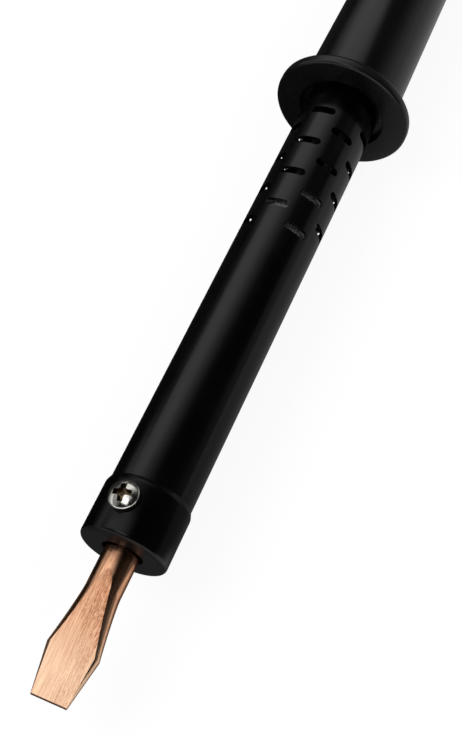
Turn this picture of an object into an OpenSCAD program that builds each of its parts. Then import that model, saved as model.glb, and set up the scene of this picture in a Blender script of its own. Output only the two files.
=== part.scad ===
// Electric soldering iron with a slotted barrel and a copper chisel bit.
// Millimetres. +X runs along the axis from the bit to the handle and +Z is
// square to the bit's flat face. The origin is the mouth of the cord inlet.

/* [Handle] */
// Length of the handle grip
handle_len = 115; // [95:1:135]
// Handle diameter at the guard
handle_front_d = 25.6; // [25:0.1:30]
// Handle diameter at the end cap
handle_rear_d = 22.4; // [21.6:0.1:25]
// Bore for the terminal block and for the end cap
handle_bore_d = 18; // [17.4:0.1:18.4]
// Narrow bore between the terminal block and the end cap
handle_waist_d = 15; // [12:0.1:16]
// Rounding of the handle's front edge
handle_edge_r = 0.5; // [0.2:0.1:0.8]

/* [Guard] */
// Diameter of the guard disc
guard_d = 35.6; // [32:0.1:44]
// Thickness of the guard disc
guard_t = 3; // [2.6:0.1:5]
// Rounding of the guard's rim
guard_edge_r = 0.9; // [0.3:0.1:1.2]
// Gap round the barrel in the guard's recess
recess_gap = 1.8; // [0.6:0.1:2.2]
// Depth of the recess
recess_depth = 2; // [1:0.1:2.2]
// Length of the guard's spigot in the handle
spigot_len = 14; // [13:0.5:20]
// Wall of the spigot
spigot_wall = 1.15; // [0.8:0.05:1.3]

/* [Barrel] */
// Outer diameter of the barrel
barrel_d = 19; // [18.4:0.1:19.6]
// Wall of the barrel
barrel_wall = 0.8; // [0.6:0.1:1]
// Length of barrel that shows between collar and guard
barrel_len = 116.4; // [100:0.1:130]
// Length of barrel behind the guard's front face
barrel_tail = 15; // [14:0.5:16]

/* [Slots] */
// Slots round the barrel, in two staggered sets
slot_cols = 8; // [4:2:10]
// Slots along one column
slot_rows = 4; // [2:1:5]
// Spacing of the slots in a column
slot_pitch = 10.3; // [8:0.1:11]
// From the guard's face to the first slot
slot_first = 8; // [6:0.1:10]
// Length of a slot round the barrel
slot_len = 6.4; // [4:0.1:6.6]
// Width of a slot along the barrel
slot_w = 2.1; // [1.2:0.1:3]
// Angle of the first column from the top, towards +Y
slot_turn = 15; // [0:1:44]

/* [Collar] */
// Length of the collar
collar_len = 14; // [12:0.1:18]
// Height of the collar over the barrel
collar_step = 0.6; // [0.3:0.1:1]
// Rounding of the collar's front edge
collar_edge_r = 0.9; // [0.3:0.1:1.4]
// Length of the collar's rear chamfer
collar_chamfer = 1.2; // [0.6:0.1:1.6]
// Height of the collar's rear chamfer
collar_chamfer_h = 0.45; // [0.2:0.05:0.6]
// Diameter of the mouth round the bit
mouth_d = 9.4; // [9.2:0.1:10.4]
// Depth of the mouth
mouth_depth = 1.6; // [0.8:0.1:3]
// Length of the spigot in the barrel
nose_spigot_len = 6; // [5:0.5:10]
// Length of the stub in the heater casing
nose_stub_len = 3; // [2:0.5:5]

/* [Set screw] */
// Thread diameter of the set screw
set_d = 3.5; // [3:0.1:4]
// Head diameter of the set screw
set_head_d = 7; // [6:0.1:8]
// Head height of the set screw
set_head_h = 2.5; // [2:0.1:3.2]
// From the collar's front face to the set screw
set_from_front = 8.3; // [6.8:0.1:9]
// Angle of the set screw from the top, towards +Y
set_turn = 15; // [0:1:90]
// Length across two arms of the cross recess
cross_len = 4; // [3:0.1:4.6]
// Width of an arm
cross_w = 1.2; // [0.8:0.1:1.4]
// Depth of the recess
cross_depth = 1.4; // [0.8:0.1:1.8]
// Angle of the arms from the axis
cross_turn = 20; // [0:5:45]

/* [Bit] */
// Diameter of the bit's shank
bit_d = 8; // [7:0.1:8.6]
// Length of bit in front of the collar
bit_reach = 33.9; // [31:0.1:45]
// From the collar to the start of the flat faces
face_start = 5.2; // [3:0.1:8]
// From the collar to where the forged flare starts
flare_at = 9; // [6:0.1:14]
// How hollow the flare's sides are, straight at 1
flare_bow = 1.3; // [1:0.05:2]
// From the collar to the widest place
wide_at = 22.9; // [20:0.1:26]
// Width of the blank at the widest place
wide_w = 11.8; // [10:0.1:14]
// Thickness of the blank at the widest place
wide_t = 6.6; // [5:0.1:7]
// Width of the tip
tip_w = 8.1; // [5:0.1:11]
// Thickness of the tip
tip_t = 0.8; // [0.4:0.1:1.6]
// Thickness of the blank at the tip, before the faces are ground
tip_blank_t = 3.2; // [2:0.1:5]
// Chamfer at the rear end of the bit
bit_chamfer = 0.5; // [0.2:0.1:1]
// Running clearance round the shank
bit_gap = 0.1; // [0.05:0.01:0.1]
// Gap behind the bit for the copper to grow
bit_end_gap = 4; // [2:0.5:6]

/* [Heater] */
// From the guard's face to the heater's rear end
heater_back = 30; // [26:0.5:40]
// Wall of the heater's core tube
core_wall = 0.55; // [0.4:0.05:0.7]
// Thickness of the inner mica
inner_mica_t = 0.5; // [0.3:0.05:0.7]
// Thickness of the winding
winding_t = 0.7; // [0.5:0.05:0.9]
// Thickness of the outer mica
outer_mica_t = 0.45; // [0.3:0.05:0.6]
// Wall of the heater casing
casing_wall = 0.5; // [0.4:0.05:0.6]
// Length of the front ceramic bush
front_bush_len = 4; // [3:0.5:6]
// Length of the rear ceramic bush
rear_bush_len = 5; // [4:0.5:7]
// Depth of the seats that hold the core tube
core_seat = 2; // [1:0.5:3]
// From the guard's face to the centring ring
ring_back = 52; // [50:0.5:60]
// Width of the centring ring
ring_w = 3; // [2:0.5:5]

/* [Wiring] */
// Diameter of a lead wire
lead_d = 0.8; // [0.6:0.1:1]
// Radius at which the leads run in the handle
lead_r = 3.2; // [3:0.1:3.3]
// Outer diameter of a bead
bead_d = 2.4; // [2:0.1:2.6]
// Length of a bead
bead_len = 6; // [4:0.5:8]
// Gap between two beads
bead_gap = 0.2; // [0.1:0.1:1]
// Straight wire behind the heater, before the bend
lead_tail = 2; // [1:0.5:4]
// Length of the bend that brings the leads together
bend_len = 4; // [3:0.5:6]
// Length of wire inside the terminal block
lead_in_block = 6; // [5:0.5:8]

/* [Barrel bush] */
// Length of the bush in the barrel's tail
bush_len = 12; // [10:0.5:12]
// Bore of the bush
bush_bore_d = 9.4; // [9.2:0.1:9.8]
// Thread diameter of the handle screws
hold_d = 3; // [2.5:0.1:3.5]
// Head diameter of the handle screws
hold_head_d = 5.6; // [5:0.1:6.4]
// Angle of a handle screw from the top
hold_turn = 130; // [110:1:150]
// Thread diameter of the earth screw
earth_d = 2.5; // [2:0.1:2.6]
// Head diameter of the earth screw
earth_head_d = 4.5; // [4:0.1:4.6]
// Radius at which the earth screw sits
earth_r = 6.7; // [6.6:0.05:6.8]
// Head height of the earth screw
earth_head_h = 1.6; // [1:0.1:2]
// Length of the earth screw in the bush
earth_len = 6; // [4:0.5:8]
// Thickness of the earth tag
tag_t = 0.6; // [0.4:0.1:1]
// Width of the earth tag's tongue
tag_w = 2.4; // [1.6:0.1:3]
// Rim of the earth tag round the screw's head
tag_rim = 0.2; // [0.1:0.1:0.4]

/* [Terminals] */
// From the guard's face to the terminal block
block_from_guard = 28; // [24:0.5:40]
// Length of the terminal block
block_len = 16; // [14:0.5:22]
// Outer diameter of a terminal tube
clip_d = 4; // [3.6:0.1:4.4]
// Bore of a terminal tube
clip_bore_d = 2.2; // [1.6:0.1:2.4]
// Thread diameter of a terminal screw
clip_screw_d = 2.5; // [2:0.1:2.6]
// From a terminal tube's end to the face of the block
clip_inset = 1; // [0.5:0.1:1.5]
// From a face of the block to the nearer screw
clip_screw_in = 3.5; // [3:0.1:4.5]

/* [End cap] */
// Length of the end cap behind the handle
cap_t = 4; // [3:0.5:8]
// Rounding of the end cap's rear edge
cap_edge_r = 2; // [0.5:0.1:2.4]
// Length of the end cap's spigot
cap_spigot_len = 10; // [8:0.5:14]
// Length of the shelf under the cord clamp
shelf_len = 14; // [11:0.5:18]
// Bore of the cord inlet
inlet_d = 7.5; // [6:0.1:8]
// Thread diameter of the end cap's screw
cap_screw_d = 2.5; // [2:0.1:3]
// Head diameter of the end cap's screw
cap_screw_head_d = 4.6; // [4:0.1:5.4]

/* [Cord clamp] */
// Diameter of cord that the clamp grips
clamp_bore_d = 5.6; // [5:0.1:5.8]
// Thickness of the clamp strap
clamp_t = 1; // [0.6:0.1:1]
// Width of the clamp strap
clamp_w = 7; // [5:0.5:9]
// From the axis to a clamp screw
clamp_screw_y = 5.9; // [5.8:0.05:6]
// Thread diameter of a clamp screw
clamp_screw_d = 2.2; // [1.8:0.1:2.2]
// Head diameter of a clamp screw
clamp_head_d = 3.8; // [3.4:0.1:3.8]
// Head height of a clamp screw
clamp_head_h = 1.5; // [1:0.1:1.8]
// From the axis down to the end of a clamp screw's thread
clamp_thread_z = 4.6; // [4.2:0.1:4.8]
// Length of a clamp screw's point
clamp_point = 1; // [0.5:0.1:1.2]

/* [Hidden] */
$fn = 96;
// Gap between pieces that are pushed or screwed together
fit_gap = 0.05;
// Gap between pieces that slide in easily
slip_gap = 0.1;
// How far a cutter runs past what it cuts
past = 1;
// Free length in front of a screw's end and behind a bend
end_gap = 0.5;
// How far a countersunk head lies below the surface
head_sink = 0.3;
// Straight rim of a countersunk head
head_rim = 0.2;
// Width and depth of a driver slot
drive_w = 0.6;
drive_depth = 0.6;
// Height of a pan head's straight rim, as a share of the head
pan_rim = 0.55;

// Places along the axis, from the cord inlet forwards
x_handle_rear = -cap_t;
x_handle_front = x_handle_rear - handle_len;
x_guard = x_handle_front - guard_t;
x_collar_rear = x_guard - barrel_len;
x_collar = x_collar_rear - collar_len;
x_tip = x_collar - bit_reach;
x_barrel_end = x_guard + barrel_tail;
x_spigot_end = x_handle_front + spigot_len;
x_heater_end = x_guard - heater_back;
x_rear_bush = x_heater_end - rear_bush_len;
x_spigot_nose = x_collar_rear + nose_spigot_len;
x_stub_nose = x_spigot_nose + nose_stub_len;
x_wound_front = x_stub_nose + front_bush_len;
x_bit_end = x_rear_bush - bit_end_gap;
x_block = x_guard + block_from_guard;
x_block_end = x_block + block_len;
x_cap_spigot = x_handle_rear - cap_spigot_len;
x_shelf = x_cap_spigot - shelf_len;
x_hold = x_barrel_end - bush_len / 2;
x_cap_screw = x_handle_rear - cap_spigot_len / 2;
x_set = x_collar + set_from_front;

// Radii that follow from the bit outwards
bit_r = bit_d / 2;
core_ri = bit_r + bit_gap;
core_ro = core_ri + core_wall;
inner_mica_ri = core_ro + fit_gap;
inner_mica_ro = inner_mica_ri + inner_mica_t;
winding_ri = inner_mica_ro + fit_gap;
winding_ro = winding_ri + winding_t;
outer_mica_ri = winding_ro + fit_gap;
outer_mica_ro = outer_mica_ri + outer_mica_t;
casing_ri = outer_mica_ro + fit_gap;
casing_ro = casing_ri + casing_wall;

// Radii that follow from the barrel outwards
barrel_r = barrel_d / 2;
barrel_ri = barrel_r - barrel_wall;
collar_r = barrel_r + collar_step;
recess_r = barrel_r + recess_gap;
spigot_ri = barrel_r + fit_gap;
spigot_ro = spigot_ri + spigot_wall;
socket_r = spigot_ro + fit_gap;
bush_ro = barrel_ri - fit_gap;

// Handle surface at a place along the axis
handle_front_r = handle_front_d / 2;
handle_rear_r = handle_rear_d / 2;
handle_bore_r = handle_bore_d / 2;
x_taper = x_handle_front + handle_edge_r;
function handle_r(x) = handle_front_r
    + (handle_rear_r - handle_front_r) * (x - x_taper) / (x_handle_rear - x_taper);

// Height of a countersunk head, a 90 degree cone under a short rim
function sunk_h(head_d, d) = (head_d - d) / 2 + head_rim;

// Leads leave the heater wide, draw together and run back to the block
lead_turns = [120, 240];
earth_turn = 0;
lead_wide_r = (winding_ri + winding_ro) / 2;
lip_ri = lead_wide_r + lead_d / 2 + slip_gap;
x_bend = x_heater_end + lead_tail;
bend_steps = 8;
bend_h = lead_wide_r - lead_r;
lead_path = concat(
    [[x_rear_bush, lead_wide_r, 0]],
    [for (t = [0 : 1 / bend_steps : 1]) [
        x_bend + t * bend_len,
        lead_r + bend_h * (1 + cos(180 * t)) / 2,
        -atan(bend_h / bend_len * PI / 2 * sin(180 * t))
    ]],
    [[x_block + lead_in_block, lead_r, 0]]
);
x_beads = x_bend + bend_len + end_gap;
bead_count = floor((x_block - end_gap - x_beads) / (bead_len + bead_gap));

// Terminal block in the handle's bore, with two screws to each tube
block_r = handle_bore_r - slip_gap;
x_clip = x_block + clip_inset;
clip_screw_x = [x_block + clip_screw_in, x_block_end - clip_screw_in];
clip_screw_top = block_r - end_gap;
clip_screw_end = lead_r + lead_d / 2 + fit_gap;
terminal_turns = [earth_turn, lead_turns[0], lead_turns[1]];

// End cap in the handle's bore, its shelf level with the cord's underside
cap_r = handle_bore_r - fit_gap;
shelf_z = -clamp_bore_d / 2;
x_clamp = x_shelf + shelf_len / 2;

// Set screw, from the shank to its seat on the collar
set_end = bit_r + fit_gap;
set_seat = collar_r + fit_gap;

// Forged blank of the bit at a distance in front of the collar
flare_steps = 8;
blank_sides = 40;
blank_r = bit_r - fit_gap / 2;
function blank_half_w(s) = s > wide_at
    ? wide_w / 2 + (tip_w - wide_w) / 2 * (s - wide_at) / (bit_reach - wide_at)
    : blank_r + (wide_w / 2 - blank_r)
        * pow(max(0, s - flare_at) / (wide_at - flare_at), flare_bow);
function blank_half_t(s) = s > wide_at
    ? wide_t / 2 + (tip_blank_t - wide_t) / 2 * (s - wide_at) / (bit_reach - wide_at)
    : blank_r + (wide_t / 2 - blank_r) * max(0, s - flare_at) / (wide_at - flare_at);

// Stands a shape that was built on +Z along +X, at x
module along(x) {
    translate([x, 0, 0]) rotate([0, 90, 0]) children();
}

// Points a shape that was built on +Z outwards from the axis at x
module outwards(x, turn) {
    translate([x, 0, 0]) rotate([-turn, 0, 0]) children();
}

// Plain tube along the axis
module tube(x0, x1, ro, ri) {
    along(x0) difference() {
        cylinder(r = ro, h = x1 - x0);
        translate([0, 0, -past]) cylinder(r = ri, h = x1 - x0 + 2 * past);
    }
}

// Solid bar along the axis, also used as a cutter
module bar(x0, x1, r) {
    along(x0) cylinder(r = r, h = x1 - x0);
}

// Turned solid from an outline of [radius, x] points and shapes
module turned() {
    rotate([0, 90, 0]) rotate_extrude() children();
}

// Outline of a turned end whose corner is rounded towards the front (-1) or rear (1)
module round_end(x, r, edge_r, way) {
    translate([0, min(x, x + way * edge_r)]) square([r - edge_r, edge_r]);
    translate([r - edge_r, x]) intersection() {
        circle(r = edge_r);
        translate([0, min(0, way * edge_r)]) square(edge_r);
    }
}

// Disc along the axis whose front and rear edges may be rounded
module rounded_disc(x0, x1, r, front_r = 0, rear_r = 0) {
    turned() {
        translate([0, x0 + front_r]) square([r, x1 - x0 - front_r - rear_r]);
        if (front_r > 0) round_end(x0 + front_r, r, front_r, -1);
        if (rear_r > 0) round_end(x1 - rear_r, r, rear_r, 1);
    }
}

// Place of a lead or an earth part round the axis
function spot(x, r, turn) = [x, r * sin(turn), r * cos(turn)];

// Round rod along the axis, beside it
module rod(x0, x1, r, turn, d) {
    translate(spot(x0, r, turn)) rotate([0, 90, 0]) cylinder(d = d, h = x1 - x0);
}

// Closed skin through rings that have as many points each
module skin(rings) {
    sides = len(rings[0]);
    last = (len(rings) - 1) * sides;
    polyhedron(
        points = [for (ring = rings, p = ring) p],
        faces = concat(
            [[for (k = [sides - 1 : -1 : 0]) k]],
            [[for (k = [0 : sides - 1]) last + k]],
            [for (at = [0 : sides : last - sides], k = [0 : sides - 1])
                [at + k, at + (k + 1) % sides, at + sides + k]],
            [for (at = [0 : sides : last - sides], k = [0 : sides - 1])
                [at + (k + 1) % sides, at + sides + (k + 1) % sides, at + sides + k]]
        )
    );
}

// Wire swept along a path of [x, radius, slope] that lies beside the axis
module swept_wire(path, turn, d, sides = 12) {
    rotate([-turn, 0, 0]) skin([
        for (p = path) [
            for (k = [0 : sides - 1])
                let (rise = d / 2 * cos(360 * k / sides), side = d / 2 * sin(360 * k / sides))
                [p[0] - rise * sin(p[2]), side, p[1] + rise * cos(p[2])]
        ]
    ]);
}

// Outline of a slot with round ends, long across the axis
module racetrack(length, width) {
    square([width, length - width], center = true);
    for (side = [-1, 1]) translate([0, side * (length - width) / 2]) circle(d = width);
}

// Countersunk screw on +Z with its thread from r0 and its head's top at r1
module sunk_screw(r0, r1, d, head_d) {
    difference() {
        union() {
            translate([0, 0, r0]) cylinder(d = d, h = r1 - r0);
            translate([0, 0, r1 - sunk_h(head_d, d)])
                cylinder(d1 = d, d2 = head_d, h = sunk_h(head_d, d));
        }
        driver_slot(r1, head_d);
    }
}

// Cutter for a driver slot across a head whose top is at z
module driver_slot(z, head_d) {
    translate([0, 0, z]) cube([head_d + past, drive_w, 2 * drive_depth], center = true);
}

// Hole for a countersunk screw, with the gap all round
module sunk_hole(r0, r1, d, head_d) {
    wide = head_d + 2 * fit_gap;
    narrow = d + 2 * fit_gap;
    translate([0, 0, r0]) cylinder(d = narrow, h = r1 - r0);
    translate([0, 0, r1 - sunk_h(head_d, d)])
        cylinder(d1 = narrow, d2 = wide, h = sunk_h(head_d, d));
    translate([0, 0, r1]) cylinder(d = wide, h = past);
}

// Pan head with a low dome, its underside at z
module pan_head(z, d, h) {
    rim_h = h * pan_rim;
    dome_h = h - rim_h;
    dome_r = (d * d / 4 + dome_h * dome_h) / (2 * dome_h);
    translate([0, 0, z]) {
        cylinder(d = d, h = rim_h);
        intersection() {
            translate([0, 0, h - dome_r]) sphere(r = dome_r);
            cylinder(d = d, h = h);
        }
    }
}

module handle_grip() {
    color("#16161a")
    difference() {
        turned() {
            polygon([
                [0, x_taper], [handle_front_r, x_taper],
                [handle_rear_r, x_handle_rear], [0, x_handle_rear]
            ]);
            round_end(x_taper, handle_front_r, handle_edge_r, -1);
        }
        bar(x_handle_front - past, x_spigot_end + fit_gap, socket_r);
        bar(x_handle_front - past, x_block_end + fit_gap, handle_bore_r);
        bar(x_handle_front - past, x_handle_rear + past, handle_waist_d / 2);
        bar(x_shelf - past, x_handle_rear + past, handle_bore_r);
        for (turn = [hold_turn, -hold_turn])
            outwards(x_hold, turn)
                sunk_hole(0, handle_r(x_hold) - head_sink, hold_d, hold_head_d);
        outwards(x_cap_screw, 180)
            sunk_hole(0, handle_r(x_cap_screw) - head_sink, cap_screw_d, cap_screw_head_d);
    }
}

module hand_guard() {
    color("#141416")
    difference() {
        union() {
            rounded_disc(x_guard, x_handle_front, guard_d / 2, guard_edge_r, guard_edge_r);
            bar(x_handle_front - past, x_spigot_end, spigot_ro);
        }
        bar(x_guard - past, x_guard + recess_depth, recess_r);
        bar(x_guard - past, x_spigot_end + past, spigot_ri);
        for (turn = [hold_turn, -hold_turn])
            outwards(x_hold, turn) cylinder(d = hold_d + 2 * fit_gap, h = spigot_ro + past);
    }
}

module handle_screws() {
    color("#8c8f94")
    for (turn = [hold_turn, -hold_turn])
        outwards(x_hold, turn) sunk_screw(
            bush_bore_d / 2 + end_gap, handle_r(x_hold) - head_sink, hold_d, hold_head_d
        );
}

// Half-round shelf that the cord is clamped on
module cord_shelf() {
    difference() {
        intersection() {
            bar(x_shelf, x_cap_spigot, cap_r - slip_gap);
            translate([x_shelf, -cap_r, -cap_r])
                cube([shelf_len, 2 * cap_r, cap_r + shelf_z]);
        }
        for (side = [-1, 1])
            translate([x_clamp, side * clamp_screw_y, 0]) clamp_screw_shank(past, fit_gap);
    }
}

module end_cap() {
    color("#18181b") union() {
        difference() {
            union() {
                rounded_disc(x_handle_rear, 0, handle_rear_r, rear_r = cap_edge_r);
                bar(x_cap_spigot, x_handle_rear + past, cap_r);
            }
            bar(x_cap_spigot - past, past, inlet_d / 2);
            outwards(x_cap_screw, 180)
                cylinder(d = cap_screw_d + 2 * fit_gap, h = cap_r + past);
        }
        cord_shelf();
    }
}

// Pointed shank of a clamp screw from z down, with a gap all round for its hole
module clamp_screw_shank(z, gap) {
    translate([0, 0, -clamp_thread_z]) {
        cylinder(r = clamp_screw_d / 2 + gap, h = z + clamp_thread_z);
        translate([0, 0, -clamp_point - gap])
            cylinder(r1 = gap, r2 = clamp_screw_d / 2 + gap, h = clamp_point + gap);
    }
}

module end_cap_screw() {
    color("#8c8f94")
    outwards(x_cap_screw, 180)
        sunk_screw(
            inlet_d / 2 + end_gap, handle_r(x_cap_screw) - head_sink,
            cap_screw_d, cap_screw_head_d
        );
}

// Section of the clamp's arch over the cord, in the frame that along() makes
module arch(r) {
    circle(r = r);
    translate([0, -r]) square([-shelf_z, 2 * r]);
}

module cord_clamp() {
    ear_y = clamp_screw_y + clamp_head_d / 2;
    arch_r = clamp_bore_d / 2;
    color("#9a9da1")
    difference() {
        union() {
            translate([x_clamp - clamp_w / 2, -ear_y, shelf_z])
                cube([clamp_w, 2 * ear_y, clamp_t]);
            along(x_clamp - clamp_w / 2) linear_extrude(height = clamp_w) arch(arch_r + clamp_t);
        }
        along(x_clamp - clamp_w) linear_extrude(height = 2 * clamp_w) {
            arch(arch_r);
            translate([-shelf_z, -cap_r]) square([cap_r, 2 * cap_r]);
        }
        for (side = [-1, 1])
            translate([x_clamp, side * clamp_screw_y, shelf_z - past])
                cylinder(d = clamp_screw_d + 2 * fit_gap, h = clamp_t + 2 * past);
    }
}

module cord_clamp_screws() {
    seat = shelf_z + clamp_t;
    color("#8c8f94")
    for (side = [-1, 1]) translate([x_clamp, side * clamp_screw_y, 0]) difference() {
        union() {
            clamp_screw_shank(seat, 0);
            pan_head(seat, clamp_head_d, clamp_head_h);
        }
        driver_slot(seat + clamp_head_h, clamp_head_d);
    }
}

module barrel_tube() {
    color("#17171a")
    difference() {
        tube(x_collar_rear, x_barrel_end, barrel_r, barrel_ri);
        for (col = [0 : slot_cols - 1], row = [0 : slot_rows - 1])
            outwards(
                x_guard - slot_first - (row + (col % 2) / 2) * slot_pitch,
                slot_turn - col * 360 / slot_cols
            )
                translate([0, 0, barrel_ri - past])
                linear_extrude(height = barrel_wall + 2 * past) racetrack(slot_len, slot_w);
        for (turn = [hold_turn, -hold_turn])
            outwards(x_hold, turn) cylinder(d = hold_d + 2 * fit_gap, h = barrel_r + past);
    }
}

module front_collar() {
    color("#19191c")
    difference() {
        union() {
            turned() {
                round_end(x_collar + collar_edge_r, collar_r, collar_edge_r, -1);
                polygon([
                    [0, x_collar + collar_edge_r],
                    [collar_r, x_collar + collar_edge_r],
                    [collar_r, x_collar_rear - collar_chamfer],
                    [collar_r - collar_chamfer_h, x_collar_rear],
                    [0, x_collar_rear]
                ]);
            }
            bar(x_collar_rear - past, x_spigot_nose, barrel_ri - fit_gap);
            bar(x_spigot_nose - past, x_stub_nose, casing_ri - fit_gap);
        }
        bar(x_collar - past, x_collar + mouth_depth, mouth_d / 2);
        bar(x_collar, x_stub_nose + past, core_ri);
        bar(x_stub_nose - core_seat, x_stub_nose + past, core_ro + fit_gap);
        outwards(x_set, set_turn) cylinder(d = set_d + 2 * fit_gap, h = collar_r + past);
    }
}

module barrel_bush() {
    color("#7d8085")
    difference() {
        tube(x_barrel_end - bush_len, x_barrel_end, bush_ro, bush_bore_d / 2);
        for (turn = [hold_turn, -hold_turn])
            outwards(x_hold, turn) cylinder(d = hold_d + 2 * fit_gap, h = bush_ro + past);
        translate(spot(x_barrel_end - earth_len - end_gap, earth_r, earth_turn))
            rotate([0, 90, 0])
            cylinder(d = earth_d + 2 * fit_gap, h = earth_len + end_gap + past);
    }
}

module heater_core_tube() {
    color("#8a8378")
    tube(x_stub_nose - core_seat, x_rear_bush + core_seat, core_ro, core_ri);
}

module inner_mica() {
    color("#b9a87c")
    tube(x_wound_front, x_rear_bush, inner_mica_ro, inner_mica_ri);
}

module heating_winding() {
    color("#6e6a64")
    tube(x_wound_front, x_rear_bush, winding_ro, winding_ri);
}

module outer_mica() {
    color("#c4b48a")
    tube(x_wound_front, x_rear_bush, outer_mica_ro, outer_mica_ri);
}

module heater_casing() {
    color("#9b9b9a")
    difference() {
        bar(x_spigot_nose, x_heater_end + casing_wall, casing_ro);
        bar(x_spigot_nose - past, x_heater_end, casing_ri);
        bar(x_spigot_nose - past, x_heater_end + past, lip_ri);
    }
}

module front_ceramic_bush() {
    color("#d8d2c4")
    tube(x_stub_nose, x_wound_front, outer_mica_ro, core_ro + fit_gap);
}

module rear_ceramic_bush() {
    color("#d8d2c4")
    difference() {
        bar(x_rear_bush, x_heater_end, outer_mica_ro);
        bar(x_rear_bush - past, x_rear_bush + core_seat, core_ro + fit_gap);
        for (turn = lead_turns)
            translate(spot(x_rear_bush - past, lead_wide_r, turn)) rotate([0, 90, 0])
                cylinder(d = lead_d + 2 * fit_gap, h = rear_bush_len + 2 * past);
    }
}

module centring_ring() {
    color("#77797c")
    tube(x_guard - ring_back, x_guard - ring_back + ring_w, barrel_ri - fit_gap, casing_ro + fit_gap);
}

module heater_lead(turn) {
    color("#a9a69c") swept_wire(lead_path, turn, lead_d);
}

module live_lead() {
    heater_lead(lead_turns[0]);
}

module neutral_lead() {
    heater_lead(lead_turns[1]);
}

module ceramic_beads() {
    color("#cfc8b8")
    for (turn = lead_turns, i = [0 : bead_count - 1])
        translate([0, lead_r * sin(turn), lead_r * cos(turn)])
            tube(
                x_beads + i * (bead_len + bead_gap),
                x_beads + i * (bead_len + bead_gap) + bead_len,
                bead_d / 2,
                lead_d / 2 + slip_gap
            );
}

module earth_tag() {
    color("#c9a54a")
    along(x_barrel_end) difference() {
        union() {
            translate([-earth_r, 0, 0]) cylinder(r = earth_head_d / 2 + tag_rim, h = tag_t);
            translate([-earth_r, -tag_w / 2, 0]) cube([earth_r - lead_r, tag_w, tag_t]);
            translate([-lead_r, 0, 0]) cylinder(d = tag_w, h = tag_t);
        }
        translate([-earth_r, 0, -past])
            cylinder(d = earth_d + 2 * fit_gap, h = tag_t + 2 * past);
    }
}

module earth_screw() {
    color("#8c8f94")
    translate(spot(x_barrel_end, earth_r, earth_turn)) rotate([0, 90, 0]) difference() {
        union() {
            translate([0, 0, -earth_len]) cylinder(d = earth_d, h = earth_len + tag_t);
            pan_head(tag_t, earth_head_d, earth_head_h);
        }
        driver_slot(tag_t + earth_head_h, earth_head_d);
    }
}

module earth_lead() {
    color("#a9a69c")
    rod(x_barrel_end + tag_t, x_block + lead_in_block, lead_r, earth_turn, lead_d);
}

module terminal_block() {
    color("#e2dccd")
    difference() {
        bar(x_block, x_block_end, block_r);
        for (turn = terminal_turns) {
            translate(spot(x_block - past, lead_r, turn)) rotate([0, 90, 0])
                cylinder(d = clip_d + 2 * fit_gap, h = block_len + 2 * past);
            for (x = clip_screw_x)
                outwards(x, turn) translate([0, 0, lead_r])
                    cylinder(d = clip_screw_d + 2 * fit_gap, h = block_r);
        }
    }
}

module terminal_tubes() {
    color("#c9a54a")
    for (turn = terminal_turns) difference() {
        translate([0, lead_r * sin(turn), lead_r * cos(turn)])
            tube(x_clip, x_block_end - clip_inset, clip_d / 2, clip_bore_d / 2);
        for (x = clip_screw_x)
            outwards(x, turn) translate([0, 0, lead_r])
                cylinder(d = clip_screw_d + 2 * fit_gap, h = clip_d);
    }
}

module terminal_screws() {
    color("#8c8f94")
    for (turn = terminal_turns, x = clip_screw_x)
        outwards(x, turn) difference() {
            translate([0, 0, clip_screw_end])
                cylinder(d = clip_screw_d, h = clip_screw_top - clip_screw_end);
            driver_slot(clip_screw_top, clip_screw_d);
        }
}

// Flat faces of the bit, as a wedge seen from the side
module bit_wedge() {
    x_face = x_collar - face_start;
    rotate([90, 0, 0]) translate([0, 0, -wide_w])
        linear_extrude(height = 2 * wide_w) polygon([
            [x_bit_end + past, -bit_r - past],
            [x_face + past, -bit_r - past],
            [x_face, -bit_r],
            [x_tip, -tip_t / 2],
            [x_tip, tip_t / 2],
            [x_face, bit_r],
            [x_face + past, bit_r + past],
            [x_bit_end + past, bit_r + past]
        ]);
}

// Forged blank, a loft of oval sections from the tip back into the shank
module bit_blank() {
    flare = [for (i = [flare_steps : -1 : 0])
        flare_at + (wide_at - flare_at) * i / flare_steps];
    skin([
        for (s = concat([bit_reach + past], flare, [flare_at - past])) [
            for (k = [0 : blank_sides - 1]) [
                x_collar - s,
                blank_half_w(s) * sin(360 * k / blank_sides),
                blank_half_t(s) * cos(360 * k / blank_sides)
            ]
        ]
    ]);
}

module soldering_bit() {
    x_chamfer = x_bit_end - bit_chamfer;
    color("#c98a5e")
    intersection() {
        union() {
            bar(x_collar - flare_at, x_chamfer, bit_r);
            along(x_chamfer) cylinder(r1 = bit_r, r2 = bit_r - bit_chamfer, h = bit_chamfer);
            bit_blank();
        }
        bit_wedge();
    }
}

module set_screw() {
    color("#c3c6ca")
    outwards(x_set, set_turn) difference() {
        union() {
            translate([0, 0, set_end]) cylinder(d = set_d, h = set_seat - set_end);
            pan_head(set_seat, set_head_d, set_head_h);
        }
        for (arm = [0, 90]) rotate([0, 0, arm + cross_turn])
            translate([0, 0, set_seat + set_head_h])
                cube([cross_len, cross_w, 2 * cross_depth], center = true);
    }
}

handle_grip();
hand_guard();
handle_screws();
end_cap();
end_cap_screw();
cord_clamp();
cord_clamp_screws();
barrel_tube();
front_collar();
barrel_bush();
heater_core_tube();
inner_mica();
heating_winding();
outer_mica();
heater_casing();
front_ceramic_bush();
rear_ceramic_bush();
centring_ring();
live_lead();
neutral_lead();
ceramic_beads();
earth_tag();
earth_screw();
earth_lead();
terminal_block();
terminal_tubes();
terminal_screws();
soldering_bit();
set_screw();
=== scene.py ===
import math

import bpy
from mathutils import Matrix, Vector


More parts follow.
